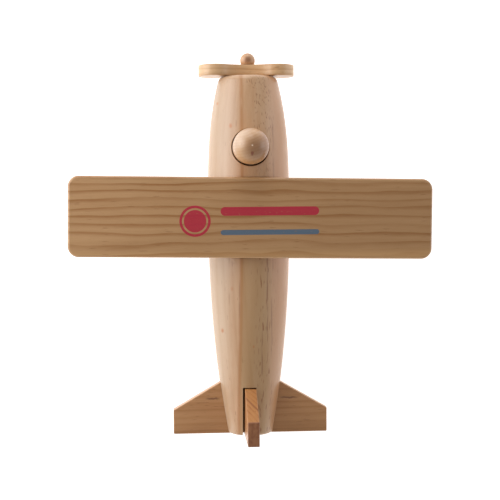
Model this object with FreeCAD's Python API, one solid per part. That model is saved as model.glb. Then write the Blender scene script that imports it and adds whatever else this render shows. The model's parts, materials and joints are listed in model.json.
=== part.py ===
import FreeCAD, Part
import math
import os

# A turned and sawn wooden toy propeller plane, in millimetres.
# Each piece is drawn in the hull's own frame: X to port, Y aft along the hull's axis from the
# nose face, Z up. At the end all of them are tipped together onto their three wheels.

# Hull: a turned spindle, fullest under the wing
hull_length = 202.7
hull_full_radius = 23.1
hull_full_station = 76.0
nose_radius = 16.2
tail_radius = 12.8
nose_fullness = 3.1
tail_fullness = 2.2
nose_round = 3.5
tail_round = 2.0

# Boards that the wing, the tail and the propeller are sawn from
board = 6.35
sanded_edge = 0.5

# Wing
wing_span = 199.6
wing_chord = 44.2
wing_thickness = 8.0
wing_front = 57.1
wing_skew = 0.9
wing_corner = 6.0
wing_round = 1.5
saddle_depth = 3.0
saddle_gap = 0.3

# Tail
tailplane_span = 87.9
tailplane_root = 29.5
tailplane_tip = 13.7
tail_edge_slope = 0.58
tail_slot_gap = 0.4
tail_slot_slack = 0.2
fin_root = 27.5
fin_height = 23.5
fin_edge_slope = 0.61
fin_offset = 0.65
fin_slot_slack = 1.15
fin_slot_gap = 0.7

# Pegs: a straight shank with a ball head cut flat behind
shank_radius = 2.5
shank_depth = 18.0
ball_overhang = 1.75
ball_shoulder = 1.0

# Propeller
propeller_span = 54.2
propeller_offset = 0.85
blade_radius = 9.7
hub_wall = 2.4

# Pilot and cockpit
cockpit_station = 40.5
cockpit_radius = 10.4
cockpit_depth = 24.5
pilot_body_clearance = 0.9
pilot_head_clearance = 0.6
pilot_shoulder_round = 3.0
pilot_head_rise = 10.0
pilot_foot_round = 1.0

# Main wheels
wheel_radius = 19.0
wheel_thickness = 10.0
wheel_round = 2.5
wheel_gap = 1.0
axle_drop = 10.0
wheel_hub_wall = 3.9
hub_seat_margin = 1.5
hub_seat_depth = 1.0
wood_between_pegs = 8.5
groove_margin = 1.5
groove_depth = 1.6

# Tail wheel
tail_wheel_radius = 9.0
tail_wheel_thickness = 6.0
tail_wheel_round = 1.5
tail_wheel_inset = 42.0
tail_axle_drop = 14.5
tail_pin_radius = 2.0
tail_pin_inset = 1.0
wheel_slot_side_gap = 0.5
wheel_slot_roof_gap = 1.2

# Dowels that hold the wing down
dowel_radius = 3.0
dowel_into_wing = 5.0
dowel_into_hull = 11.0
dowel_spacing = 22.0
dowel_end_gap = 0.5

# Fits
running_clearance = 0.1
glue_clearance = 0.05
end_play = 0.3

X_AXIS = FreeCAD.Vector(1, 0, 0)
Y_AXIS = FreeCAD.Vector(0, 1, 0)
Z_AXIS = FreeCAD.Vector(0, 0, 1)


def point(x, y, z):
    return FreeCAD.Vector(x, y, z)


def hull_radius(station):
    """Radius of the hull: full radius less a power of the distance from the fullest station."""
    if station < hull_full_station:
        share = (hull_full_station - station) / hull_full_station
        return hull_full_radius - (hull_full_radius - nose_radius) * share ** nose_fullness
    share = (station - hull_full_station) / (hull_length - hull_full_station)
    return hull_full_radius - (hull_full_radius - tail_radius) * share ** tail_fullness


def half_width(station, drop):
    """Half the hull's width at a station, at a level above or below its axis."""
    return math.sqrt(hull_radius(station) ** 2 - drop ** 2)


# Places that several pieces share
wing_seat = hull_full_radius - saddle_depth
wing_middle = wing_front + wing_chord / 2
dowel_stations = {
    "wing_dowel_front": wing_middle - dowel_spacing / 2,
    "wing_dowel_rear": wing_middle + dowel_spacing / 2,
}
cockpit_rim = hull_radius(cockpit_station)
cockpit_floor = cockpit_rim - cockpit_depth
pilot_radius = cockpit_radius - pilot_body_clearance
pilot_head_radius = cockpit_radius - pilot_head_clearance
pilot_neck_radius = pilot_radius - pilot_shoulder_round
pilot_lean = pilot_body_clearance / 2
hub_seat = half_width(wing_middle, axle_drop) - hub_seat_depth
wheel_bore_floor = wood_between_pegs / 2
wheel_inner_face = hull_full_radius + wheel_gap
wheel_outer_face = wheel_inner_face + wheel_thickness
tail_wheel_station = hull_length - tail_wheel_inset
fin_foot = board / 2
fin_base = hull_radius(hull_length - fin_root)
fin_starboard = fin_offset - board / 2
ball_radius = shank_radius + ball_overhang
bore_radius = shank_radius + running_clearance
hub_half_width = bore_radius + hub_wall
wheel_hub_radius = bore_radius + wheel_hub_wall
groove_inner = wheel_hub_radius + groove_margin
groove_outer = wheel_radius - wheel_round - groove_margin
propeller_thickness = board
propeller_back = -end_play
propeller_front = propeller_back - propeller_thickness
nose_shoulder = propeller_front - end_play
clear_of_hull = 1.5 * hull_full_radius


def box(low, high):
    """Box between two opposite corners."""
    size = high - low
    return Part.makeBox(size.x, size.y, size.z, low)


def rod(radius, start, end):
    """Round rod between two points."""
    return Part.makeCylinder(radius, (end - start).Length, start, end - start)


def plate(outline, thickness):
    """Board cut to a closed wire and extruded along a vector."""
    return Part.Face(outline).extrude(thickness)


def turned(edges, axis):
    """Solid turned about an axis through the origin from the edges of half its section."""
    return Part.Face(Part.Wire(edges)).revolve(FreeCAD.Vector(), axis, 360)


def line(start, end):
    return Part.LineSegment(start, end).toShape()


def edges_along(shape, axis):
    """Straight edges of a shape that run parallel to an axis."""
    found = []
    for edge in shape.Edges:
        if len(edge.Vertexes) == 2 and isinstance(edge.Curve, Part.Line):
            if abs(edge.tangentAt(edge.FirstParameter).dot(axis)) > 0.999:
                found.append(edge)
    return found


def edges_across(shape, axis, position):
    """Edges that lie in the plane at a position along an axis."""
    found = []
    for edge in shape.Edges:
        low = edge.BoundBox.getPoint(0).dot(axis)
        high = edge.BoundBox.getPoint(6).dot(axis)
        if abs(low - position) < 0.01 and abs(high - position) < 0.01:
            found.append(edge)
    return found


def spindle():
    """The hull as it comes off the lathe."""
    steps = 16
    stations = [hull_length * step / steps for step in range(steps + 1)]
    side = Part.BSplineCurve()
    side.interpolate([point(hull_radius(y), y, 0) for y in stations])
    nose_face = line(point(0, 0, 0), point(nose_radius, 0, 0))
    tail_face = line(point(tail_radius, hull_length, 0), point(0, hull_length, 0))
    centre_line = line(point(0, hull_length, 0), point(0, 0, 0))
    solid = turned([nose_face, side.toShape(), tail_face, centre_line], Y_AXIS)
    solid = solid.makeFillet(nose_round, edges_across(solid, Y_AXIS, 0))
    return solid.makeFillet(tail_round, edges_across(solid, Y_AXIS, hull_length))


def saddle():
    """Flat-bottomed notch across the hull's back that the wing lies in."""
    return box(
        point(-clear_of_hull, wing_front - saddle_gap, wing_seat),
        point(clear_of_hull, wing_front + wing_chord + saddle_gap, clear_of_hull),
    )


def tail_slots():
    """Slots for the tailplane and the fin, both open at the tail end."""
    level = box(
        point(-clear_of_hull, hull_length - tailplane_root - tail_slot_gap, -board / 2),
        point(clear_of_hull, hull_length + tail_round, board / 2 + tail_slot_slack),
    )
    upright = box(
        point(fin_starboard, hull_length - fin_root - fin_slot_gap, 0),
        point(fin_starboard + board + fin_slot_slack, hull_length + tail_round, clear_of_hull),
    )
    return [level, upright]


def tail_wheel_slot():
    """Slot under the tail with a round roof that follows the tail wheel."""
    half = tail_wheel_thickness / 2 + wheel_slot_side_gap
    radius = tail_wheel_radius + wheel_slot_roof_gap
    roof = rod(
        radius,
        point(-half, tail_wheel_station, -tail_axle_drop),
        point(half, tail_wheel_station, -tail_axle_drop),
    )
    mouth = box(
        point(-half, tail_wheel_station - radius, -tail_axle_drop - clear_of_hull),
        point(half, tail_wheel_station + radius, -tail_axle_drop),
    )
    return [roof, mouth]


def hull_bores():
    """Cockpit hole, peg bores with their hub seats, dowel holes and the tail pin's bore."""
    glued = shank_radius + glue_clearance
    cockpit_bottom = point(0, cockpit_station, cockpit_floor)
    tools = [
        rod(cockpit_radius, cockpit_bottom, point(0, cockpit_station, clear_of_hull)),
        rod(glued, point(0, -nose_round, 0), point(0, shank_depth + glue_clearance, 0)),
        rod(
            tail_pin_radius + glue_clearance,
            point(-clear_of_hull, tail_wheel_station, -tail_axle_drop),
            point(clear_of_hull, tail_wheel_station, -tail_axle_drop),
        ),
    ]
    for side in (-1, 1):
        seat = point(side * hub_seat, wing_middle, -axle_drop)
        outside = point(side * wheel_outer_face, wing_middle, -axle_drop)
        bottom = point(side * wheel_bore_floor, wing_middle, -axle_drop)
        tools.append(rod(wheel_hub_radius + hub_seat_margin, seat, outside))
        tools.append(rod(glued, bottom, outside))
    for station in dowel_stations.values():
        floor = point(0, station, wing_seat - dowel_into_hull - dowel_end_gap)
        tools.append(rod(dowel_radius + glue_clearance, floor, point(0, station, clear_of_hull)))
    return tools


def fuselage():
    """The spindle with its saddle, slots and bores cut."""
    solid = spindle()
    for tool in [saddle()] + tail_slots() + tail_wheel_slot() + hull_bores():
        solid = solid.cut(tool)
    return solid


def wing():
    """Round-cornered plank, glued a little askew in its saddle, on two dowels."""
    plank = box(
        point(-wing_span / 2, wing_front, wing_seat),
        point(wing_span / 2, wing_front + wing_chord, wing_seat + wing_thickness),
    )
    plank = plank.makeFillet(wing_corner, edges_along(plank, Z_AXIS))
    rims = edges_across(plank, Z_AXIS, wing_seat) + edges_across(plank, Z_AXIS, wing_seat + wing_thickness)
    plank = plank.makeFillet(wing_round, rims)
    plank.rotate(point(0, wing_middle, 0), Z_AXIS, -wing_skew)
    for station in dowel_stations.values():
        top = point(0, station, wing_seat + dowel_into_wing + dowel_end_gap)
        plank = plank.cut(rod(dowel_radius + glue_clearance, point(0, station, 0), top))
    return plank


def wing_dowel(station):
    """Blind dowel, half in the hull and half in the wing."""
    return rod(
        dowel_radius,
        point(0, station, wing_seat - dowel_into_hull),
        point(0, station, wing_seat + dowel_into_wing),
    )


def tailplane():
    """One board through the hull: a straight middle, raked leading edges and square tips."""
    tip = tailplane_span / 2
    rear = hull_length
    rake = (tailplane_root - tailplane_tip) / tail_edge_slope
    half = [
        point(tip - rake, rear - tailplane_root, -board / 2),
        point(tip, rear - tailplane_tip, -board / 2),
        point(tip, rear, -board / 2),
    ]
    mirrored = [point(-corner.x, corner.y, corner.z) for corner in reversed(half)]
    outline = Part.makePolygon(half + mirrored + half[:1])
    solid = plate(outline, Z_AXIS * board)
    return solid.makeFillet(sanded_edge, solid.Edges)


def fin():
    """Upright board on the tailplane, raked in front, glued to the starboard wall of its slot."""
    front = hull_length - fin_root
    top = fin_base + fin_height
    rake = fin_height * fin_edge_slope
    corners = [
        point(fin_starboard, front, fin_foot),
        point(fin_starboard, front, fin_base),
        point(fin_starboard, front + rake, top),
        point(fin_starboard, hull_length, top),
        point(fin_starboard, hull_length, fin_foot),
    ]
    solid = plate(Part.makePolygon(corners + corners[:1]), X_AXIS * board)
    return solid.makeFillet(sanded_edge, edges_along(solid, X_AXIS)[1:4])


def propeller():
    """Two round paddles joined by hollow curves at a narrow hub, bored a little off its middle."""
    reach = propeller_span / 2 - blade_radius
    waist = blade_radius - hub_half_width
    rise = (reach ** 2 - waist ** 2) / (2 * waist)
    lean = math.atan2(rise, reach)
    touch_x = reach - blade_radius * math.cos(lean)
    touch_z = blade_radius * math.sin(lean)
    corners = [
        point(touch_x, propeller_back, touch_z),
        point(touch_x, propeller_back, -touch_z),
        point(-touch_x, propeller_back, -touch_z),
        point(-touch_x, propeller_back, touch_z),
    ]
    crests = [
        point(propeller_span / 2, propeller_back, 0),
        point(0, propeller_back, -hub_half_width),
        point(-propeller_span / 2, propeller_back, 0),
        point(0, propeller_back, hub_half_width),
    ]
    edges = [Part.Arc(corners[i], crests[i], corners[(i + 1) % 4]).toShape() for i in range(4)]
    solid = plate(Part.Wire(edges), Y_AXIS * -propeller_thickness)
    rims = edges_across(solid, Y_AXIS, propeller_back) + edges_across(solid, Y_AXIS, propeller_front)
    solid = solid.makeFillet(sanded_edge, rims)
    solid.translate(point(propeller_offset, 0, 0))
    return solid.cut(rod(bore_radius, point(0, propeller_front - 1, 0), point(0, 1, 0)))


def peg(shank_length):
    """Peg along X: the shank ends at the origin, where the flat back of the ball head starts."""
    shoulder = shank_radius + ball_shoulder
    centre = math.sqrt(ball_radius ** 2 - shoulder ** 2)
    crown = centre + ball_radius
    edges = [
        line(point(-shank_length, 0, 0), point(-shank_length, shank_radius, 0)),
        line(point(-shank_length, shank_radius, 0), point(0, shank_radius, 0)),
        line(point(0, shank_radius, 0), point(0, shoulder, 0)),
        Part.Arc(point(0, shoulder, 0), point(centre, ball_radius, 0), point(crown, 0, 0)).toShape(),
        line(point(crown, 0, 0), point(-shank_length, 0, 0)),
    ]
    return turned(edges, X_AXIS)


def propeller_peg():
    """Peg that the propeller turns on, glued into the nose."""
    solid = peg(shank_depth - nose_shoulder)
    solid.rotate(FreeCAD.Vector(), Z_AXIS, -90)
    solid.translate(point(0, nose_shoulder, 0))
    return solid


def wheel_peg(side):
    """Peg that a main wheel turns on, glued into the hull's side."""
    head = wheel_outer_face + end_play
    solid = peg(head - wheel_bore_floor - glue_clearance)
    if side < 0:
        solid.rotate(FreeCAD.Vector(), Z_AXIS, 180)
    solid.translate(point(side * head, wing_middle, -axle_drop))
    return solid


def pilot():
    """Peg doll: a round body in the cockpit, a soft shoulder, a neck and a ball head."""
    head = cockpit_rim + pilot_head_rise
    neck = head - math.sqrt(pilot_head_radius ** 2 - pilot_neck_radius ** 2)
    shoulder = neck - pilot_shoulder_round
    slant = pilot_shoulder_round * math.sqrt(0.5)
    floor = cockpit_floor
    foot = pilot_foot_round
    crown = head + pilot_head_radius
    edges = [
        line(point(0, 0, floor), point(pilot_radius - foot, 0, floor)),
        line(point(pilot_radius - foot, 0, floor), point(pilot_radius, 0, floor + foot)),
        line(point(pilot_radius, 0, floor + foot), point(pilot_radius, 0, shoulder)),
        Part.Arc(
            point(pilot_radius, 0, shoulder),
            point(pilot_neck_radius + slant, 0, shoulder + slant),
            point(pilot_neck_radius, 0, neck),
        ).toShape(),
        Part.Arc(
            point(pilot_neck_radius, 0, neck),
            point(pilot_head_radius, 0, head),
            point(0, 0, crown),
        ).toShape(),
        line(point(0, 0, crown), point(0, 0, floor)),
    ]
    solid = turned(edges, Z_AXIS)
    solid.translate(point(pilot_lean, cockpit_station, 0))
    return solid


def round_edges(shape):
    return [edge for edge in shape.Edges if isinstance(edge.Curve, Part.Circle)]


def wheel(side):
    """Turned wheel: round tyre edges, a hollow ring in the outer face, a hub on the inner face."""
    inner = point(side * wheel_inner_face, wing_middle, -axle_drop)
    outer = point(side * wheel_outer_face, wing_middle, -axle_drop)
    hub_end = point(side * (hub_seat + end_play), wing_middle, -axle_drop)
    disc = rod(wheel_radius, inner, outer)
    disc = disc.makeFillet(wheel_round, round_edges(disc))
    half_groove = (groove_outer - groove_inner) / 2
    tube = (half_groove ** 2 + groove_depth ** 2) / (2 * groove_depth)
    ring_centre = outer + X_AXIS * side * (tube - groove_depth)
    ring = Part.makeTorus(groove_inner + half_groove, tube, ring_centre, X_AXIS)
    bore = rod(bore_radius, point(0, wing_middle, -axle_drop), outer + X_AXIS * side)
    return disc.cut(ring).fuse(rod(wheel_hub_radius, hub_end, inner)).cut(bore).removeSplitter()


def tail_wheel():
    """Small disc with rounded edges that turns on the tail pin."""
    half = X_AXIS * (tail_wheel_thickness / 2)
    centre = point(0, tail_wheel_station, -tail_axle_drop)
    disc = rod(tail_wheel_radius, centre - half, centre + half)
    disc = disc.makeFillet(tail_wheel_round, round_edges(disc))
    return disc.cut(rod(tail_pin_radius + running_clearance, centre - half * 2, centre + half * 2))


def tail_wheel_pin():
    """Dowel across the tail wheel's slot, sunk a little into the hull's sides."""
    half = half_width(tail_wheel_station, tail_axle_drop) - tail_pin_inset
    return rod(
        tail_pin_radius,
        point(-half, tail_wheel_station, -tail_axle_drop),
        point(half, tail_wheel_station, -tail_axle_drop),
    )


def stand(shapes):
    """Tips all pieces nose up until the three wheels share one floor, and centres them on it."""
    reach = tail_wheel_station - wing_middle
    drop = tail_axle_drop - axle_drop
    slope = math.asin((wheel_radius - tail_wheel_radius) / math.hypot(reach, drop)) - math.atan2(drop, reach)
    for shape in shapes.values():
        shape.rotate(FreeCAD.Vector(), X_AXIS, -math.degrees(slope))
    extent = FreeCAD.BoundBox()
    for shape in shapes.values():
        extent.add(shape.optimalBoundingBox(False, False))
    floor = math.sin(slope) * -wing_middle - math.cos(slope) * axle_drop - wheel_radius
    for shape in shapes.values():
        shape.translate(point(0, -extent.Center.y, -floor))
    return shapes


def plane():
    """Every piece by name, standing on the floor."""
    shapes = {
        "fuselage": fuselage(),
        "wing": wing(),
        "tailplane": tailplane(),
        "fin": fin(),
        "propeller": propeller(),
        "propeller_peg": propeller_peg(),
        "pilot": pilot(),
        "tail_wheel": tail_wheel(),
        "tail_wheel_pin": tail_wheel_pin(),
    }
    for name, station in dowel_stations.items():
        shapes[name] = wing_dowel(station)
    for name, side in (("left", 1), ("right", -1)):
        shapes[name + "_wheel"] = wheel(side)
        shapes[name + "_wheel_peg"] = wheel_peg(side)
    return stand(shapes)


pieces = plane()
os.makedirs("parts", exist_ok=True)
for node, solid in pieces.items():
    solid.exportStep("parts/" + node + ".step")
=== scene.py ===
import json
import math

import bmesh
import bpy
import numpy as np
from mathutils import Matrix, Vector


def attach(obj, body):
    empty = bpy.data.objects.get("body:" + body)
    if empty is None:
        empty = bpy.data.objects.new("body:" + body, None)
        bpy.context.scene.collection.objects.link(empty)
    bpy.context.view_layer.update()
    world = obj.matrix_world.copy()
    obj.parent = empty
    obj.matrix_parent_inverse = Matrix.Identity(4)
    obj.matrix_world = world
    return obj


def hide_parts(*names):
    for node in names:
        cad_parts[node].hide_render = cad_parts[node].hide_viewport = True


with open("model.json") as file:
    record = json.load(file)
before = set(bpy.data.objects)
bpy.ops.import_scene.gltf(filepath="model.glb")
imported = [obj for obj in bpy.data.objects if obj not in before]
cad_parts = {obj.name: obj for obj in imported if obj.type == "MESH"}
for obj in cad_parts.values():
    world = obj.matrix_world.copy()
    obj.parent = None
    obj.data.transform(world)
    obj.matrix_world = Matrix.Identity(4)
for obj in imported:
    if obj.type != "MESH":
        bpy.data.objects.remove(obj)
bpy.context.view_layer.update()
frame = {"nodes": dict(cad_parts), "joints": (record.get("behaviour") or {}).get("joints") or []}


# ---------------------------------------------------------------------------------------
# Camera. It hangs high above the toy, a little to port of its back and almost straight
# over the wing, with the nose at the top of the frame.

camera = bpy.data.objects.new("camera", bpy.data.cameras.new("camera"))
camera.data.lens = 78.34
camera.data.sensor_width = 36
camera.location = (0.03978, 0.01501, 0.64825)
camera.rotation_euler = [math.radians(angle) for angle in (1.2255, -3.7108, 179.3202)]
bpy.context.scene.collection.objects.link(camera)
bpy.context.scene.camera = camera
bpy.context.scene.view_settings.view_transform = "Standard"


# ---------------------------------------------------------------------------------------
# Studio. A white table in a light tent: the walls are brighter than the roof, a large low
# softbox stands close to port, and weaker ones ahead of the nose and to starboard.

class Link:
    """An output of a shader node. Arithmetic between links and numbers adds Math nodes."""

    def __init__(self, tree, socket=None):
        self.tree = tree
        self.socket = socket

    def node(self, kind, settings, sockets, output=0):
        """Adds a node: its settings first, then the values or links of its sockets."""
        made = self.tree.nodes.new("ShaderNode" + kind)
        for name, value in settings.items():
            if name == "stops":
                ramp = made.color_ramp.elements
                while len(ramp) < len(value):
                    ramp.new(1.0)
                for element, (place, colour) in zip(ramp, value):
                    element.position = place
                    element.color = (*colour, 1.0)
            else:
                setattr(made, name, value)
        for name, value in sockets.items():
            if isinstance(value, Link):
                self.tree.links.new(value.socket, made.inputs[name])
            else:
                made.inputs[name].default_value = value
        return Link(self.tree, made.outputs[output])

    def math(self, operation, first, second=0.0):
        return self.node("Math", {"operation": operation}, {0: first, 1: second})

    def __add__(self, other):
        return self.math("ADD", self, other)

    def __sub__(self, other):
        return self.math("SUBTRACT", self, other)

    def __rsub__(self, other):
        return self.math("SUBTRACT", other, self)

    def __mul__(self, other):
        return self.math("MULTIPLY", self, other)

    def __truediv__(self, other):
        return self.math("DIVIDE", self, other)

    def __pow__(self, other):
        return self.math("POWER", self, other)

    def __abs__(self):
        return self.math("ABSOLUTE", self)

    __radd__ = __add__
    __rmul__ = __mul__

    def step(self, low, high):
        """0 below low, 1 above high, and an even S between; low may be the larger."""
        ends = {"Value": self, "From Min": low, "From Max": high}
        return self.node("MapRange", {"interpolation_type": "SMOOTHSTEP"}, ends)

    def blend(self, first, second):
        """Colour that goes from first to second as this link goes from 0 to 1."""
        colours = [c if isinstance(c, Link) else (*c, 1.0) for c in (first, second)]
        settings = {"data_type": "RGBA", "clamp_factor": True}
        return self.node("Mix", settings, {0: self, 6: colours[0], 7: colours[1]}, output=2)


roof_glow = 0.26
wall_glow = 1.3
tent = bpy.data.worlds.new("tent")
tent.use_nodes = True
bpy.context.scene.world = tent
direction = Link(tent.node_tree).node("TexCoord", {}, {})
height = direction.node("SeparateXYZ", {}, {0: direction}, output=2)
height = height.math("MAXIMUM", height, 0.0)
glow = (1 - height) ** 3 * (wall_glow - roof_glow) + roof_glow
tent.node_tree.links.new(glow.socket, tent.node_tree.nodes["Background"].inputs["Strength"])
tent.node_tree.nodes["Background"].inputs["Color"].default_value = (1.0, 1.0, 1.0, 1.0)

for name, spot, width, power in (
    ("port_softbox", (0.62, -0.18, 0.31), 0.6, 4.0),
    ("front_softbox", (0.10, -0.85, 0.45), 0.5, 2.2),
    ("starboard_softbox", (-0.80, -0.10, 0.30), 0.5, 1.2),
):
    lamp = bpy.data.objects.new(name, bpy.data.lights.new(name, "AREA"))
    lamp.data.size = width
    lamp.data.energy = power
    lamp.location = spot
    lamp.rotation_euler = (-Vector(spot)).to_track_quat("-Z", "Y").to_euler()
    bpy.context.scene.collection.objects.link(lamp)

table_half = 2.5
table = bpy.data.meshes.new("table")
table.from_pydata([(x * table_half, y * table_half, 0.0) for x, y in ((-1, -1), (1, -1), (1, 1), (-1, 1))],
                  [], [(0, 1, 2, 3)])
table.materials.append(bpy.data.materials.new("white_table"))
table.materials[0].use_nodes = True
white = table.materials[0].node_tree.nodes["Principled BSDF"].inputs
white["Base Color"].default_value = (0.82, 0.82, 0.81, 1.0)
white["Roughness"].default_value = 0.7
white["Emission Color"].default_value = (1.0, 1.0, 1.0, 1.0)
white["Emission Strength"].default_value = 0.8
floor = bpy.data.objects.new("table", table)
bpy.context.scene.collection.objects.link(floor)


# ---------------------------------------------------------------------------------------
# Fuselage. One turned spindle of pale softwood, sanded and lightly waxed. It is notched
# for the wing, slotted for the tail boards and the tail wheel, and bored for the pilot,
# the pegs and the dowels.

joints = {joint["name"]: joint for joint in frame["joints"]}
up = np.array(joints["pilot_lift"]["axis"])
aft = -np.array(joints["propeller_spin"]["axis"])
port = np.array([1.0, 0.0, 0.0])
axes = np.array([port, aft, up])

# The propeller's middle lies this far ahead of the nose face, in millimetres
propeller_lead = 3.475
nose = np.array(joints["propeller_spin"]["pos_m"]) + aft * propeller_lead / 1000


def place(points):
    """Row-frame metres of points given in millimetres to port, aft of the nose and up."""
    return nose + points @ axes / 1000


def span(node):
    """Lowest and highest corner of a CAD node, in millimetres to port, aft and up."""
    vertices = frame["nodes"][node].data.vertices
    corners = np.empty(len(vertices) * 3)
    vertices.foreach_get("co", corners)
    local = (corners.reshape(-1, 3) - nose) @ axes.T * 1000
    return local.min(0), local.max(0)


def skin(name, grid, ring=False):
    """Piece whose surface is a grid of points: each row closes on itself, and with ring the
    last row joins the first. A row whose points coincide becomes a single pole."""
    rows, columns = grid.shape[:2]
    index = np.arange(rows * columns).reshape(rows, columns)
    if ring:
        index = np.vstack([index, index[:1]])
    index = np.hstack([index, index[:, :1]])
    quads = np.stack([index[:-1, :-1], index[:-1, 1:], index[1:, 1:], index[1:, :-1]], axis=-1)
    mesh = bpy.data.meshes.new(name)
    mesh.from_pydata(place(grid.reshape(-1, 3)), [], quads.reshape(-1, 4))
    merged = bmesh.new()
    merged.from_mesh(mesh)
    bmesh.ops.remove_doubles(merged, verts=merged.verts, dist=1e-7)
    bmesh.ops.recalc_face_normals(merged, faces=merged.faces)
    merged.to_mesh(mesh)
    merged.free()
    piece = bpy.data.objects.new(name, mesh)
    bpy.context.scene.collection.objects.link(piece)
    crisp(piece)
    return piece


sharp_turn = math.radians(38)


def crisp(piece):
    """Smooth shading that stops at edges where the surface turns sharply."""
    piece.data.shade_smooth()
    piece.data.set_sharp_from_angle(angle=sharp_turn)


def lathe(profile, start, axis, around=128):
    """Grid of a turned surface: row i is a circle of radius profile[i, 1] about the axis,
    profile[i, 0] along it from the start."""
    axis = np.array(axis, float)
    side = np.roll(axis, 1)
    third = np.cross(axis, side)
    turn = np.linspace(0, 2 * math.pi, around, endpoint=False)[None, :, None]
    radial = np.cos(turn) * side + np.sin(turn) * third
    return np.array(start, float) + profile[:, 0, None, None] * axis + profile[:, 1, None, None] * radial


def arc(along, radius, size, first, last, count):
    """Points of a circle of that size about (along, radius), from the first angle to the
    last in degrees; angle 0 points along the axis and 90 away from it."""
    angle = np.radians(np.linspace(first, last, count))
    return np.stack([along + size * np.cos(angle), radius + size * np.sin(angle)], axis=-1)


def carve(piece, grids):
    """Takes closed surfaces out of a piece, one after another."""
    cutters = [skin("cutter", grid) for grid in grids]
    for cutter in cutters:
        cut = piece.modifiers.new("cut", "BOOLEAN")
        cut.object = cutter
        cut.solver = "EXACT"
    bpy.context.view_layer.update()
    shown = piece.evaluated_get(bpy.context.evaluated_depsgraph_get())
    piece.modifiers.clear()
    piece.data = bpy.data.meshes.new_from_object(shown)
    for cutter in cutters:
        bpy.data.objects.remove(cutter)
    crisp(piece)


hull_length = span("fuselage")[1][1]
full_radius = 23.1
full_station = 76.0
nose_radius = 16.2
tail_radius = 12.8
nose_fullness = 3.1
tail_fullness = 2.2
nose_round = 3.5
tail_round = 2.0


def hull_radius(station):
    """Full radius less a power of the distance from the fullest station, by halves."""
    ahead = np.clip((full_station - station) / full_station, 0, 1)
    behind = np.clip((station - full_station) / (hull_length - full_station), 0, 1)
    lost_ahead = (full_radius - nose_radius) * ahead ** nose_fullness
    return full_radius - lost_ahead - (full_radius - tail_radius) * behind ** tail_fullness


def hull_top(across, station):
    """Height of the hull's back over a point of its middle plane."""
    return np.sqrt(hull_radius(station) ** 2 - across ** 2)


def block(low, high):
    """Grid of a box between two corners: two square rows between two poles."""
    (x0, y0, z0), (x1, y1, z1) = low, high
    square = np.array([(x0, y0), (x1, y0), (x1, y1), (x0, y1)], float)
    middle = np.repeat(square.mean(0)[None], 4, axis=0)
    rows = ((middle, z0), (square, z0), (square, z1), (middle, z1))
    return np.stack([np.column_stack([outline, np.full(4, float(z))]) for outline, z in rows])


def rod(radius, start, end):
    """Grid of a round rod between two points on a line along one of the axes."""
    reach = np.array(end, float) - np.array(start, float)
    length = np.abs(reach).sum()
    profile = np.array([(0, 0), (0, radius), (length, radius), (length, 0)], float)
    return lathe(profile, start, reach / length, around=96)


# The nose and tail edges are rounded by arcs that touch the end face and the side
side_turn = math.atan2((full_radius - nose_radius) * nose_fullness, full_station)
nose_arc_radius = hull_radius(nose_round * (1 - math.sin(side_turn))) - nose_round * math.cos(side_turn)
tail_turn = math.atan2((full_radius - tail_radius) * tail_fullness, hull_length - full_station)
tail_arc_station = hull_length - tail_round
tail_touch = tail_arc_station + tail_round * math.sin(tail_turn)
tail_arc_radius = hull_radius(tail_touch) - tail_round * math.cos(tail_turn)
side_stations = np.linspace(nose_round * (1 - math.sin(side_turn)), tail_touch, 240)[1:-1]
hull_profile = np.concatenate([
    [(0.0, 0.0), (0.0, nose_arc_radius / 2)],
    arc(nose_round, nose_arc_radius, nose_round, 180, 90 + math.degrees(side_turn), 9),
    np.column_stack([side_stations, hull_radius(side_stations)]),
    arc(tail_arc_station, tail_arc_radius, tail_round, 90 - math.degrees(tail_turn), 0, 7),
    [(hull_length, tail_arc_radius / 2), (hull_length, 0.0)],
])

clear = 1.5 * full_radius
saddle_gap = 0.3
wing_low, wing_high = span("wing")
wing_chord = 44.2
wing_middle = (wing_low + wing_high) / 2
wing_seat = wing_low[2]
notch_half = wing_chord / 2 + saddle_gap

cockpit_radius = 10.4
cockpit_depth = 24.5
cockpit_softening = 0.45
pilot_low, pilot_high = span("pilot")
cockpit_station = (pilot_low[1] + pilot_high[1]) / 2
cockpit_floor = hull_radius(cockpit_station) - cockpit_depth


def cockpit():
    """Grid of the pilot's hole: a flat floor, a straight wall, and a rim that follows the
    hull's back and is softened by a quarter circle."""
    turn = np.linspace(0, 2 * math.pi, 160, endpoint=False)
    open_turn = np.radians(np.linspace(0, 78, 6))
    reach = np.concatenate([
        [0.0, cockpit_radius],
        cockpit_radius + cockpit_softening * (1 - np.cos(open_turn)),
        [cockpit_radius + cockpit_softening, 0.0],
    ])
    across = reach[:, None] * np.cos(turn)
    station = cockpit_station + reach[:, None] * np.sin(turn)
    level = hull_top(across, station)
    level[2:8] -= cockpit_softening * (1 - np.sin(open_turn))[:, None]
    level[:2] = cockpit_floor
    level[-2:] = clear
    return np.stack([across, station, level], axis=-1)


tail_low, tail_high = span("tailplane")
fin_low, fin_high = span("fin")
tail_wheel_low, tail_wheel_high = span("tail_wheel")
tail_wheel_middle = (tail_wheel_low + tail_wheel_high) / 2
wheel_low, wheel_high = span("left_wheel")
wheel_middle = (wheel_low + wheel_high) / 2
dowel_foot = span("wing_dowel_front")[0][2]
dowel_spacing = 22.0
glued_gap = 0.05
peg_radius = 2.5
level_slot_gap = 0.4
level_slot_slack = 0.2
fin_slot_gap = 0.7
fin_slot_slack = 1.15
wheel_slot_half = 3.5
wheel_slot_roof = 10.2
hub_seat_radius = 8.0
hub_seat_depth_gap = 0.3
peg_bore = peg_radius + glued_gap
nose_peg_depth = 18.0
wood_between_pegs = 8.5
seat_cut_length = 9.0
peg_cut_length = 12.0
tail_pin_radius = 2.0
dowel_radius = 3.0
dowel_end_gap = 0.5
past_end = 5.0
sliver = 1e-3

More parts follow.
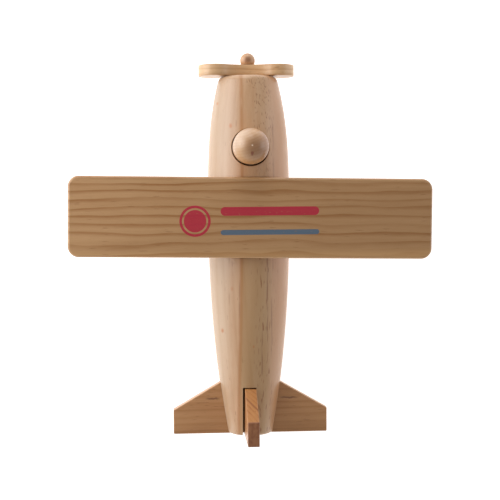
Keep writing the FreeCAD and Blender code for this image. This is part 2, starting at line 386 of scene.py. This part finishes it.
cuts = [
    block((-clear, wing_middle[1] - notch_half, wing_seat), (clear, wing_middle[1] + notch_half, clear)),
    block((-clear, tail_low[1] - level_slot_gap, tail_low[2]),
          (clear, hull_length + past_end, tail_high[2] + level_slot_slack)),
    block((fin_low[0], fin_low[1] - fin_slot_gap, 0),
          (fin_high[0] + fin_slot_slack, hull_length + past_end + 1, clear)),
    rod(wheel_slot_roof, tail_wheel_middle - (wheel_slot_half, 0, 0),
        tail_wheel_middle + (wheel_slot_half, 0, 0)),
    block(tail_wheel_middle - (wheel_slot_half - sliver, wheel_slot_roof, clear),
          tail_wheel_middle + (wheel_slot_half - sliver, wheel_slot_roof, 0)),
    cockpit(),
    rod(peg_bore, (0, -past_end, 0), (0, nose_peg_depth + glued_gap, 0)),
    rod(tail_pin_radius + glued_gap, tail_wheel_middle - (clear, 0, 0), tail_wheel_middle + (clear, 0, 0)),
]
for side in (1, -1):
    axle = wheel_middle * (side, 1, 1)
    seat = wheel_low * (side, 0, 0) - (side * hub_seat_depth_gap, 0, 0)
    cuts.append(rod(hub_seat_radius, axle * (0, 1, 1) + seat, axle + (side * seat_cut_length, 0, 0)))
    bore_end = axle * (0, 1, 1) + (side * wood_between_pegs / 2, 0, 0)
    cuts.append(rod(peg_bore, bore_end, axle + (side * peg_cut_length, 0, 0)))
for station in (wing_middle[1] - dowel_spacing / 2, wing_middle[1] + dowel_spacing / 2):
    cuts.append(rod(dowel_radius + glued_gap, (0, station, dowel_foot - dowel_end_gap), (0, station, clear)))


def noise(grain, period, detail=2.0, shift=0.0):
    """Random value about a half whose swells measure the periods, in millimetres across,
    along and through the board."""
    moved = grain.node("VectorMath", {"operation": "ADD"}, {0: grain, 1: (shift, shift * 3, shift * 2)})
    drawn = grain.node("VectorMath", {"operation": "DIVIDE"}, {0: moved, 1: period})
    return grain.node("TexNoise", {}, {"Vector": drawn, "Scale": 1.0, "Detail": detail, "Roughness": 0.55})


def wood(name, origin, grain_way, face_way, heart, spacing, tones, waver=1.0, lines=0.6,
         bands=0.6, flecks=0.2, fleck_size=(0.8, 5.0, 0.8), polish=0.5, shift=0.0, marks=None):
    """Sanded and waxed wood with real growth rings. Each ring is a shell about a heart line that
    runs along the grain: its phase is the distance from that line, plus a slow waver, over
    the spacing, and late in a ring the wood darkens. Broad bands, fine fibres and short
    dark flecks are random values drawn out along the grain. Lengths are millimetres."""
    material = bpy.data.materials.new(name)
    material.use_nodes = True
    across_way = np.cross(grain_way, face_way)
    turn = Matrix((across_way, grain_way, face_way)).transposed().to_euler()
    body = Link(material.node_tree).node("TexCoord", {}, {}, output=3)
    settings = {"vector_type": "TEXTURE"}
    sockets = {"Vector": body, "Location": origin, "Rotation": turn, "Scale": (0.001, 0.001, 0.001)}
    grain = body.node("Mapping", settings, sockets)
    across, along, through = (grain.node("SeparateXYZ", {}, {0: grain}, output=i) for i in range(3))

    slow = (noise(grain, (16, 70, 16), 1.5, shift) - 0.5) * 4
    slow = slow + (noise(grain, (9, 24, 9), 1.0, shift + 60) - 0.5)
    from_heart = ((across - heart[0]) ** 2 + (through - heart[1]) ** 2) ** 0.5
    phase = (from_heart + slow * waver) / spacing
    ring = phase.math("FRACT", phase)
    late = ring.step(0.35, 0.88) * ring.step(1.0, 0.90)
    strong = noise(grain, (7, 120, 7), 1.0, shift + 11).step(0.3, 0.7) * 0.6 + 0.4
    band = noise(grain, (4.5, 220, 4.5), 2.0, shift + 23)
    fibre = noise(grain, (0.35, 9, 0.35), 3.0, shift + 37)
    cloud = noise(grain, (14, 30, 14), 2.0, shift + 5)
    tone = late * strong * lines + (band - 0.5) * (1.6 * bands) + (fibre - 0.5) * 0.32 + cloud * 0.3 + 0.12
    stops = list(zip((0.0, 0.42, 0.8, 1.0), tones))
    colour = tone.node("ValToRGB", {"stops": stops}, {"Fac": tone})

    fleck = noise(grain, fleck_size, 0.0, shift + 51).step(0.74 - 0.12 * flecks, 0.86 - 0.12 * flecks)
    colour = (fleck * 0.5).blend(colour, tones[-1])
    if marks:
        colour = marks(colour, grain, across, along, through)
    rough = (fibre - 0.5) * 0.3 + late * 0.08 + polish
    height = fibre * 0.6 - fleck * 0.8 - late * 0.25
    relief = {"Height": height, "Strength": 0.35, "Distance": 0.00012}
    bumped = height.node("Bump", {}, relief)
    shader = material.node_tree.nodes["Principled BSDF"].inputs
    for socket, link in (("Base Color", colour), ("Roughness", rough), ("Normal", bumped)):
        material.node_tree.links.new(link.socket, shader[socket])
    shader["Coat Weight"].default_value = 0.5
    shader["Coat Roughness"].default_value = 0.22
    return material


hull_tones = (
    (0.60, 0.385, 0.235),
    (0.52, 0.300, 0.158),
    (0.43, 0.220, 0.098),
    (0.28, 0.115, 0.042),
)


silk_brown = (0.56, 0.295, 0.155)
olive_heart_and_shade = (0.40, 0.240, 0.098)
painted_sheen_pale = (0.46, 0.350, 0.245)
painted_shade_brown = (0.34, 0.215, 0.130)
orange_side = (0.45, 0.205, 0.082)
warm_line = (0.40, 0.165, 0.048)
dash_brown = (0.27, 0.105, 0.036)
streak_brown = (0.25, 0.105, 0.045)
knot_orange = (0.46, 0.165, 0.05)


def hull_marks(colour, grain, across, along, through):
    """The stick's own figure: a warm line and an olive band along its back, an orange
    starboard side, rows of dark dashes, a few streaks and pin knots. With painted light over
    it: the olive band deepens towards the tail partly as painted shade, a painted sheen makes
    the port side paler, and painted shade darkens the port side towards the nose."""
    wander = (noise(grain, (60, 90, 60), 1.0, 3) - 0.5) * 1.6
    place_across = across + wander
    silk = noise(grain, (0.9, 45, 0.9), 2.0, 77).step(0.42, 0.68) * 0.3
    colour = silk.blend(colour, silk_brown)
    # The olive band is the wood's heart colour; its deepening towards the tail is partly painted shade.
    olive_band_and_shade = (place_across - along * 0.012).step(5.4, 3.6) * place_across.step(-13.0, -8.0)
    colour = (olive_band_and_shade * (along.step(20, 150) * 0.4 + 0.15)).blend(colour, olive_heart_and_shade)
    # Painted sheen: the port side, which faces the port softbox, is made paler.
    painted_port_sheen = place_across.step(6.0, 18.0)
    colour = (painted_port_sheen * 0.55).blend(colour, painted_sheen_pale)
    # Painted shade: the port side towards the nose is darkened.
    painted_nose_shade = place_across.step(3.0, 9.0) * along.step(90.0, 20.0)
    colour = (painted_nose_shade * 0.3).blend(colour, painted_shade_brown)
    warm_side = place_across.step(-7.0, -15.0) * through.step(-14.0, 2.0)
    colour = (warm_side * 0.65).blend(colour, orange_side)
    patchy = noise(grain, (3, 26, 3), 2.0, 7).step(0.2, 0.5)
    line = abs(place_across - 4.6 - along * 0.012).step(1.7, 0.1) * patchy
    colour = (line * 0.65).blend(colour, warm_line)
    stray = place_across + (noise(grain, (8, 8, 8), 1.0, 19) - 0.5) * 9
    rows = stray.step(0.5, -3.5) * stray.step(-15.0, -9.0)
    short = noise(grain, (0.65, 2.9, 0.65), 0.0, 91).step(0.63, 0.74) * along.step(60.0, 45.0)
    long = noise(grain, (0.8, 6.5, 0.8), 0.0, 95).step(0.66, 0.78) * along.step(90.0, 100.0)
    colour = ((short + long) * rows * 0.7).blend(colour, dash_brown)
    for streak_across, first, last, strength in (
        (-8.6, 100, 140, 0.7), (-5.9, 146, 166, 0.55), (12.4, 98, 122, 0.4), (7.0, 118, 134, 0.35),
        (-12.5, 30, 58, 0.4), (-11.2, 128, 152, 0.5),
    ):
        broken = noise(grain, (2.0, 11, 2.0), 1.0, first).step(0.35, 0.6)
        near = abs(place_across - streak_across).step(0.75, 0.1)
        near = near * along.step(first - 6, first) * along.step(last + 8, last)
        colour = (near * broken * strength * through.step(-4.0, 0.0)).blend(colour, streak_brown)
    for knot_across, knot_along, size, strength in (
        (10.8, 28.6, 0.8, 0.8), (17.6, 15.6, 0.5, 0.7), (16.2, 61.0, 0.6, 0.6), (16.0, 142.6, 0.7, 0.8),
        (10.8, 118.6, 0.7, 0.4), (-1.0, 151.0, 0.5, 0.6),
    ):
        apart = (((across - knot_across) / size) ** 2 + ((along - knot_along) / (size * 1.7)) ** 2) ** 0.5
        knot = apart.step(1.5, 0.3) * through.step(0.0, 2.0)
        colour = (knot * strength).blend(colour, knot_orange)
    return colour


fuselage = skin("hull", lathe(hull_profile, (0, 0, 0), (0, 1, 0), around=224))
carve(fuselage, cuts)
fuselage.data.materials.clear()
fuselage.data.materials.append(wood(
    "pale_hull_wood", nose, aft, up, heart=(58, -34), spacing=5.6, tones=hull_tones, waver=0.5,
    lines=0.16, bands=0.6, flecks=0.05, polish=0.46, marks=hull_marks))
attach(fuselage, "airframe")
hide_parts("fuselage")


# ---------------------------------------------------------------------------------------
# Wing. A flat-sawn plank with round corners and softly rounded edges, glued a little
# askew in the hull's notch. Its top carries a plain printed roundel and two stripes.

def board(outline, facing, low, high, rounding, steps=6, middle=None):
    """Grid of a board in its own plane: a centre point or a bore, the lower face, an edge
    rounded by a quarter circle below and above, the upper face, and the centre again.
    An outline point moves inwards along its facing by the quarter circle's height."""
    bend = np.radians(np.linspace(0, 90, steps))
    inset = rounding * (1 - np.sin(bend))
    lift = rounding * (1 - np.cos(bend))
    insets = np.concatenate([inset, inset[::-1]])
    levels = np.concatenate([low + lift, (high - lift)[::-1]])
    rim = outline[None] - facing[None] * insets[:, None, None]
    rows = np.concatenate([rim, levels[:, None, None] * np.ones((1, len(outline), 1))], axis=2)
    if middle is None:
        middle = np.repeat(outline.mean(0)[None], len(outline), axis=0)
    ends = [np.column_stack([middle, np.full(len(middle), level)])[None] for level in (low, high)]
    return np.concatenate([ends[0], rows, ends[1]])


def rounded_outline(corners, radius, steps=10):
    """Closed outline of straight sides and round corners, and the way each point faces.
    A corner's arc turns from one side's outward normal to the next one's."""
    corners = np.array(corners, float)
    before = corners - np.roll(corners, 1, axis=0)
    after = np.roll(corners, -1, axis=0) - corners
    first = np.arctan2(-before[:, 0], before[:, 1])
    turn = (np.arctan2(-after[:, 0], after[:, 1]) - first + math.pi) % (2 * math.pi) - math.pi
    angle = first[:, None] + turn[:, None] * np.linspace(0, 1, steps)
    half = first + turn / 2
    centre = corners - radius / np.cos(turn / 2)[:, None] * np.column_stack([np.cos(half), np.sin(half)])
    facing = np.stack([np.cos(angle), np.sin(angle)], axis=-1)
    return (centre[:, None] + radius * facing).reshape(-1, 2), facing.reshape(-1, 2)


wing_span = 199.6
wing_corner = 6.0
wing_round = 1.5
wing_skew = math.radians(0.9)
plank_half = (wing_span / 2, wing_chord / 2)
plank_corners = [(x * plank_half[0], y * plank_half[1]) for x, y in ((-1, -1), (1, -1), (1, 1), (-1, 1))]
plank_outline, plank_facing = rounded_outline(plank_corners, wing_corner, steps=14)
plank = board(plank_outline, plank_facing, wing_low[2], wing_high[2], wing_round, steps=8)
askew = np.array([(math.cos(wing_skew), -math.sin(wing_skew)), (math.sin(wing_skew), math.cos(wing_skew))])
plank[..., :2] = plank[..., :2] @ askew + wing_middle[:2]

wing_tones = (
    (0.54, 0.315, 0.148),
    (0.450, 0.240, 0.100),
    (0.325, 0.138, 0.036),
    (0.225, 0.083, 0.018),
)
crimson = (0.44, 0.005, 0.033)
slate = (0.075, 0.130, 0.190)


def wing_print(colour, grain, across, along, through):
    """Painted shade that darkens the starboard half, and painted highlights along the arrises
    and the rear edge. Then the screen print, on the top face only: a ringed disc to port and
    two round-ended stripes, each a shape whose distance from a point or a line is under its
    half width."""
    # Painted shade: the wing darkens towards its starboard tip.
    colour = (along.step(90.0, -60.0) * 0.3).blend(colour, (0.26, 0.125, 0.042))
    # Painted highlight along the rounded arrises, where side light catches them.
    rim = through.step(3.15, 2.6) * through.step(0.4, 1.4)
    colour = (rim * 0.7).blend(colour, (0.80, 0.400, 0.140))
    # Painted highlight along the rear edge, which slopes away from the front softbox.
    painted_rear_highlight = across.step(-16.5, -21.0)
    colour = (painted_rear_highlight * 0.35).blend(colour, (0.74, 0.430, 0.185))
    top = through.step(1.5, 2.2)
    disc = ((along - 31.0) ** 2 + (across + 1.6) ** 2) ** 0.5
    ink = disc.step(8.6, 8.4) * (1 - disc.step(6.0, 6.2) * disc.step(7.2, 7.0))
    worn = 0.94 - noise(grain, (0.6, 2.0, 0.6), 2.0, 71).step(0.62, 0.8) * 0.4
    colour = (ink * top * worn).blend(colour, crimson)
    for middle, half_length, station, half_width, paint in (
        (-9.9, 24.6, 3.6, 2.4, crimson),
        (-9.9, 25.6, -7.9, 1.4, slate),
    ):
        beyond = (abs(along - middle) - half_length).math("MAXIMUM", abs(along - middle) - half_length, 0.0)
        apart = (beyond ** 2 + (across - station) ** 2) ** 0.5
        stripe = apart.step(half_width + 0.1, half_width - 0.1)
        colour = (stripe * top * worn).blend(colour, paint)
    return colour


wing = skin("wing_plank", plank)
wing.data.materials.append(wood(
    "brown_wing_wood", place(wing_middle), port, up, heart=(-38, -30), spacing=3.5, tones=wing_tones,
    waver=1.5, lines=0.52, bands=0.35, flecks=0.15, fleck_size=(0.6, 7.0, 0.6), polish=0.46, shift=40,
    marks=wing_print))
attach(wing, "airframe")
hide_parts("wing")


# ---------------------------------------------------------------------------------------
# Tailplane and fin. Two boards of the same reddish stock with their edges just broken by
# sandpaper, glued into the slots at the hull's tail. The fin's grain runs fore and aft.

broken_edge = 0.5
tail_edge_slope = 0.58
tail_root = tail_high[1] - tail_low[1]
tail_tip = 13.7
half_span = tail_high[0]
tail_rake = (tail_root - tail_tip) / tail_edge_slope
tail_corners = [
    (half_span - tail_rake, tail_low[1]), (half_span, tail_high[1] - tail_tip), (half_span, tail_high[1]),
    (-half_span, tail_high[1]), (-half_span, tail_high[1] - tail_tip), (tail_rake - half_span, tail_low[1]),
]
tail_outline, tail_facing = rounded_outline(tail_corners, broken_edge + 0.1, steps=6)
tailplane = skin("tail_board", board(tail_outline, tail_facing, tail_low[2], tail_high[2], broken_edge))

tail_tones = (
    (0.54, 0.285, 0.126),
    (0.455, 0.218, 0.085),
    (0.340, 0.145, 0.049),
    (0.210, 0.078, 0.026),
)


def tail_marks(colour, grain, across, along, through):
    """A dark bark streak on each half, a little behind the leading edge."""
    wander = (noise(grain, (6, 5, 6), 2.0, 17) - 0.5) * 2.6
    for streak_along, reach in ((21.5, 5.0), (-22.0, 6.5)):
        near = abs(along - streak_along).step(reach, reach * 0.3)
        thin = abs(across + wander - (tail_root - 9.5)).step(0.9, 0.15)
        colour = (near * thin * 0.75).blend(colour, (0.15, 0.058, 0.027))
    return colour


tail_middle = place(np.array([0, tail_high[1], 0]))
tailplane.data.materials.append(wood(
    "reddish_tail_wood", tail_middle, port, up, heart=(-60, -80), spacing=2.6, tones=tail_tones, waver=0.5,
    lines=0.3, bands=0.4, flecks=0.2, fleck_size=(0.5, 5.0, 0.5), polish=0.45, shift=90, marks=tail_marks))
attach(tailplane, "airframe")
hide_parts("tailplane")

fin_surface = hull_radius(fin_low[1])
fin_edge_slope = 0.61
fin_rake = (fin_high[2] - fin_surface) * fin_edge_slope
fin_corners = [
    (fin_high[1], fin_low[2]), (fin_high[1], fin_high[2]), (fin_low[1] + fin_rake, fin_high[2]),
    (fin_low[1], fin_surface), (fin_low[1], fin_low[2]),
]
fin_outline, fin_facing = rounded_outline(fin_corners, broken_edge + 0.1, steps=6)
fin_grid = board(fin_outline, fin_facing, fin_low[0], fin_high[0], broken_edge * 0.7)
fin = skin("fin_board", fin_grid[..., [2, 0, 1]])

fin_tones = (
    (0.46, 0.218, 0.066),
    (0.40, 0.160, 0.042),
    (0.28, 0.092, 0.020),
    (0.17, 0.050, 0.013),
)


def fin_marks(colour, grain, across, along, through):
    """One dark growth ring that crosses the raked edge aslant, and a browner top."""
    level = 0 - across
    ring = abs(level + through * 1.37 - 28.8 + (noise(grain, (5, 30, 5), 1.0, 61) - 0.5)).step(1.5, 0.1)
    colour = (ring * 0.8).blend(colour, (0.22, 0.066, 0.015))
    top = level.step(fin_high[2] - 0.75, fin_high[2] - 0.35)
    blotch = noise(grain, (2.6, 5, 2.6), 3.0, 29).step(0.35, 0.65)
    dark = blotch.blend((0.195, 0.066, 0.025), (0.300, 0.120, 0.050))
    return (top * 0.9).blend(colour, dark)


fin.data.materials.append(wood(
    "orange_fin_wood", nose, aft, port, heart=(-64, 48), spacing=2.3, tones=fin_tones, waver=0.4,
    lines=0.35, bands=0.25, flecks=0.05, polish=0.45, shift=130, marks=fin_marks))
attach(fin, "airframe")
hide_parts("fin")


# ---------------------------------------------------------------------------------------
# Propeller. Sawn from a honey-coloured board: two round paddles and a narrow bored hub,
# sanded on every edge. It turns loosely on a peg in the nose.

propeller_low, propeller_high = span("propeller")
paddle_radius = 9.7
hub_half = 5.0
bore_radius = 2.6
reach = (propeller_high[0] - propeller_low[0]) / 2 - paddle_radius
waist = paddle_radius - hub_half
rise = (reach ** 2 - waist ** 2) / (2 * waist)
hollow = rise - hub_half
lean = math.atan2(rise, reach)
paddle_middle = (propeller_low[0] + propeller_high[0]) / 2


def propeller_outline(steps=40):
    """Paddle and hub arcs that touch: port paddle, hollow, starboard paddle, hollow."""
    turn = math.pi - lean
    sweep = np.linspace(-1, 1, steps, endpoint=False)
    round_way = np.concatenate([sweep * turn, sweep * turn + math.pi])
    paddle_side = np.repeat([1.0, -1.0], steps)
    paddles = np.column_stack([np.cos(round_way), np.sin(round_way)])
    paddle_points = paddle_radius * paddles + np.column_stack([paddle_side * reach, np.zeros(2 * steps)])
    dip = np.linspace(1, -1, steps, endpoint=False) * (math.pi / 2 - lean)
    above = np.column_stack([np.sin(dip), -np.cos(dip)])
    hollow_points = np.column_stack([hollow * above[:, 0], rise + hollow * above[:, 1]])
    points = [paddle_points[:steps], hollow_points, paddle_points[steps:], -hollow_points]
    ways = [paddles[:steps], -above, paddles[steps:], above]
    return np.concatenate(points), np.concatenate(ways)


outline, facing = propeller_outline()
bore_way = np.arctan2(outline[:, 1], outline[:, 0])
bore = bore_radius * np.column_stack([np.cos(bore_way), np.sin(bore_way)]) - (paddle_middle, 0)
blade_grid = board(outline, facing, propeller_low[1], propeller_high[1], broken_edge, middle=bore)
blade_grid = blade_grid[..., [0, 2, 1]] + (paddle_middle, 0, 0)
propeller = skin("propeller_board", blade_grid, ring=True)

propeller_tones = (
    (0.70, 0.450, 0.245),
    (0.60, 0.345, 0.158),
    (0.47, 0.230, 0.082),
    (0.31, 0.130, 0.038),
)


def propeller_marks(colour, grain, across, along, through):
    """Painted highlights: an orange one along the front arris, and one that makes the port paddle paler."""
    # Painted highlight: the port paddle, which faces the port softbox, is made paler.
    colour = (along.step(-4.0, 26.0) * 0.3).blend(colour, (0.70, 0.480, 0.280))
    # Painted highlight in orange along the rounded front arris.
    painted_front_highlight = through.step(propeller_lead - 7.4, propeller_lead - 8.1)
    return (painted_front_highlight * 0.45).blend(colour, (0.66, 0.310, 0.090))


propeller.data.materials.append(wood(
    "honey_propeller_wood", np.array(joints["propeller_spin"]["pos_m"]), port, aft, heart=(10, -46),
    spacing=2.9, tones=propeller_tones, waver=0.9, lines=0.4, bands=0.4, flecks=0.15, polish=0.48, shift=170,
    marks=propeller_marks))
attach(propeller, "propeller")
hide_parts("propeller")


# ---------------------------------------------------------------------------------------
# Pegs. Turned pins with a ball head cut flat behind, glued into the nose and the sides.
# The propeller and the main wheels are trapped under their heads.

ball_radius = 4.25
ball_back = 3.5
ball_lead = math.sqrt(ball_radius ** 2 - ball_back ** 2)
ball_start = math.degrees(math.atan2(ball_back, -ball_lead))
peg_tones = (
    (0.65, 0.395, 0.220),
    (0.53, 0.280, 0.135),
    (0.39, 0.180, 0.075),
    (0.25, 0.105, 0.045),
)


def peg_marks(colour, grain, across, along, through):
    """End grain at the front of the ball, where the fibres are cut square, and a brown
    patch on the ball's upper side."""
    apart = (across ** 2 + through ** 2) ** 0.5
    mottle = noise(grain, (1.5, 1.5, 1.5), 2.0, 9)
    patch = (apart + mottle * 2).step(3.4, 1.2) * along.step(2.5, 4.5)
    colour = (patch * 0.6).blend(colour, (0.23, 0.13, 0.075))
    above = ((across ** 2 + (along - 3.0) ** 2) ** 0.5 + mottle * 1.6).step(3.2, 1.2) * through.step(1.0, 2.5)
    return (above * 0.6).blend(colour, (0.25, 0.125, 0.065))


for name, way, shift in (("propeller_peg", 1, 5), ("left_wheel_peg", 0, 210), ("right_wheel_peg", 0, 250)):
    low, high = span(name)
    axis = np.zeros(3)
    outward = 1 if name == "left_wheel_peg" else -1
    axis[way] = outward
    length = (high - low)[way]
    shoulder = length - ball_lead - ball_radius
    start = (low + high) / 2
    start[way] = low[way] if outward > 0 else high[way]
    profile = np.concatenate([
        [(0.0, 0.0), (0.0, peg_radius - 0.3), (0.3, peg_radius), (shoulder, peg_radius),
         (shoulder, ball_back - 0.15)],
        arc(shoulder + ball_lead, 0.0, ball_radius, ball_start - 2, 0, 28),
    ])
    profile[-1, 1] = 0.0
    peg = skin(name + "_turned", lathe(profile, start, axis, around=72))
    shoulder_spot = place(start + axis * shoulder)
    peg.data.materials.append(wood(
        name + "_wood", shoulder_spot, axes[way] * outward, up, heart=(1.5, -7), spacing=1.7,
        tones=peg_tones, waver=0.5, lines=0.5, bands=0.3, flecks=0.2, fleck_size=(0.4, 2.5, 0.4),
        polish=0.45, shift=shift, marks=peg_marks))
    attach(peg, "airframe")
    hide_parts(name)


# ---------------------------------------------------------------------------------------
# Pilot. A turned peg doll: a straight body with a soft shoulder, a neck and a ball head.
# It stands loose in the cockpit, lifts out, and still has the lathe's nib on its crown.

head_radius = 9.8
body_radius = 9.5
neck_radius = 6.5
shoulder_round = 3.0
foot_round = 1.0
pilot_spot = (pilot_low + pilot_high) / 2
head_level = pilot_high[2] - head_radius - pilot_low[2]
neck_level = head_level - math.sqrt(head_radius ** 2 - neck_radius ** 2)
neck_angle = math.degrees(math.atan2(neck_radius, neck_level - head_level))
pilot_profile = np.concatenate([
    [(0.0, 0.0)],
    arc(foot_round, body_radius - foot_round, foot_round, 180, 90, 7),
    arc(neck_level - shoulder_round, neck_radius, shoulder_round, 90, 4, 10),
    arc(head_level, 0.0, head_radius, neck_angle, 0, 72),
])
pilot_profile[-1, 1] = 0.0
pilot_start = (pilot_spot[0], pilot_spot[1], pilot_low[2])
pilot = skin("pilot_doll", lathe(pilot_profile, pilot_start, (0, 0, 1), around=128))

pilot_tones = (
    (0.60, 0.385, 0.222),
    (0.52, 0.280, 0.127),
    (0.40, 0.186, 0.066),
    (0.26, 0.104, 0.032),
)
nib_height = (pilot_high[2] - pilot_low[2]) / 2


def crown_marks(colour, grain, across, along, through):
    """A painted highlight to port and ahead, painted shade in a dark warm brown to starboard, and
    warmer orange low on the aft side. End grain round the crown is browner the squarer the
    fibres are cut, with a pale nib where the doll was parted from the lathe and a small red
    knot behind it."""
    apart = (across ** 2 + through ** 2) ** 0.5
    # Painted highlight on the port and forward side of the head.
    painted_port_highlight = (through - across * 0.8).step(4.0, 9.5)
    colour = (painted_port_highlight * 0.4).blend(colour, (0.58, 0.48, 0.40))
    # Painted shade: the starboard side, away from the port light, is darkened.
    colour = (through.step(-2.0, -8.0) * 0.75).blend(colour, (0.29, 0.112, 0.036))
    colour = (across.step(5.0, 9.5) * along.step(0.0, 6.0) * 0.5).blend(colour, (0.62, 0.300, 0.105))
    aside = ((across - 1.2) ** 2 + (through + 1.6) ** 2) ** 0.5
    crown = aside.step(9.2, 2.0) * along.step(nib_height - 9, nib_height - 5)
    colour = (crown * 0.78).blend(colour, (0.28, 0.135, 0.062))
    nib = apart.step(0.55, 0.3) * along.step(nib_height - 2, nib_height - 1)
    colour = (nib * 0.8).blend(colour, (0.78, 0.62, 0.47))
    ragged = noise(grain, (1, 1, 1), 2.0, 4) - 0.5
    knot = (((across - 4.2) / 1.3) ** 2 + (through / 0.8) ** 2) ** 0.5 + ragged
    knot = knot.step(1.3, 0.5) * along.step(nib_height - 5, nib_height - 3)
    return (knot * 0.75).blend(colour, (0.20, 0.045, 0.020))


pilot.data.materials.append(wood(
    "pilot_wood", place(pilot_spot), up, port, heart=(-30, 9), spacing=1.6, tones=pilot_tones, waver=0.3,
    lines=0.22, bands=0.25, flecks=0.1, fleck_size=(0.6, 3.5, 0.6), polish=0.42, shift=300,
    marks=crown_marks))
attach(pilot, "pilot")
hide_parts("pilot")


# ---------------------------------------------------------------------------------------
# Main wheels. Turned from a board, so the grain runs straight across each face. The tread
# is rounded, the outer face has a hollow ring, and a short hub spaces the disc off the hull.

wheel_radius = wheel_high[2] - wheel_middle[2]
wheel_gap = 1.0
wheel_round = 2.5
wheel_thickness = 10.0
hub_radius = 6.5
groove_inner = 8.0
groove_outer = 15.0
groove_depth = 1.6
soft = 0.4
hub_lead = full_radius + wheel_gap - wheel_low[0]
half_groove = (groove_outer - groove_inner) / 2
groove_size = (half_groove ** 2 + groove_depth ** 2) / (2 * groove_depth)
groove_half_turn = math.degrees(math.asin(half_groove / groove_size))
groove_middle = (groove_inner + groove_outer) / 2
wheel_back = hub_lead
wheel_front = hub_lead + wheel_thickness
wheel_profile = np.concatenate([
    arc(soft, bore_radius + soft, soft, 270, 180, 5),
    arc(soft, hub_radius - soft, soft, 180, 90, 5),
    arc(wheel_back - soft, hub_radius + soft, soft, 270, 360, 5),
    arc(wheel_back + wheel_round, wheel_radius - wheel_round, wheel_round, 180, 90, 12),
    arc(wheel_front - wheel_round, wheel_radius - wheel_round, wheel_round, 90, 0, 12),
    arc(wheel_front + groove_size - groove_depth, groove_middle, groove_size,
        180 - groove_half_turn, 180 + groove_half_turn, 20),
    arc(wheel_front - soft, bore_radius + soft, soft, 0, -90, 5),
])
wheel_tones = (
    (0.70, 0.465, 0.265),
    (0.575, 0.350, 0.170),
    (0.42, 0.225, 0.090),
    (0.25, 0.115, 0.045),
)
for name, side, shift in (("left_wheel", 1, 350), ("right_wheel", -1, 390)):
    start = wheel_middle * (side, 1, 1)
    start[0] = side * wheel_low[0]
    wheel = skin(name + "_turned", lathe(wheel_profile, start, (side, 0, 0), around=160), ring=True)
    wheel.data.materials.append(wood(
        name + "_wood", place(wheel_middle * (side, 1, 1)), aft, port * side, heart=(6, -40), spacing=3.8,
        tones=wheel_tones, waver=1.2, lines=0.6, bands=0.4, flecks=0.25, polish=0.5, shift=shift))
    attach(wheel, name)
    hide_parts(name)


# ---------------------------------------------------------------------------------------
# Tail wheel. A small disc with rounded edges that turns on its pin in the slot.

tail_wheel_radius = tail_wheel_high[2] - tail_wheel_middle[2]
tail_wheel_width = tail_wheel_high[0] - tail_wheel_low[0]
tail_wheel_round = 1.5
tail_bore = 2.1
tail_rim = tail_wheel_radius - tail_wheel_round
tail_profile = np.concatenate([
    arc(soft, tail_bore + soft, soft, 270, 180, 5),
    arc(tail_wheel_round, tail_rim, tail_wheel_round, 180, 90, 9),
    arc(tail_wheel_width - tail_wheel_round, tail_rim, tail_wheel_round, 90, 0, 9),
    arc(tail_wheel_width - soft, tail_bore + soft, soft, 0, -90, 5),
])
tail_start = tail_wheel_middle - (tail_wheel_width / 2, 0, 0)
tail_wheel = skin("tail_wheel_turned", lathe(tail_profile, tail_start, (1, 0, 0), around=96), ring=True)
tail_wheel.data.materials.append(wood(
    "tail_wheel_wood", place(tail_wheel_middle), aft, port, heart=(4, -20), spacing=2.4, tones=wheel_tones,
    waver=0.7, lines=0.6, bands=0.4, flecks=0.25, fleck_size=(0.5, 3.0, 0.5), shift=430))
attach(tail_wheel, "tail_wheel")
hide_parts("tail_wheel")


# ---------------------------------------------------------------------------------------
# Dowels. Plain round rod, sawn to length: two join the wing to the hull out of sight, and
# one carries the tail wheel, its ends sunk a little into the hull's sides.

dowel_tones = (
    (0.60, 0.400, 0.240),
    (0.50, 0.310, 0.165),
    (0.38, 0.205, 0.095),
    (0.24, 0.115, 0.050),
)
for name, way, across, shift in (
    ("wing_dowel_front", up, port, 470),
    ("wing_dowel_rear", up, port, 490),
    ("tail_wheel_pin", port, up, 510),
):
    low, high = span(name)
    dowel = frame["nodes"][name]
    dowel.data.materials.clear()
    dowel.data.materials.append(wood(
        name + "_wood", place((low + high) / 2), way, across, heart=(4, -6), spacing=1.4, tones=dowel_tones,
        waver=0.3, lines=0.5, bands=0.2, flecks=0.2, fleck_size=(0.3, 2.0, 0.3), shift=shift))
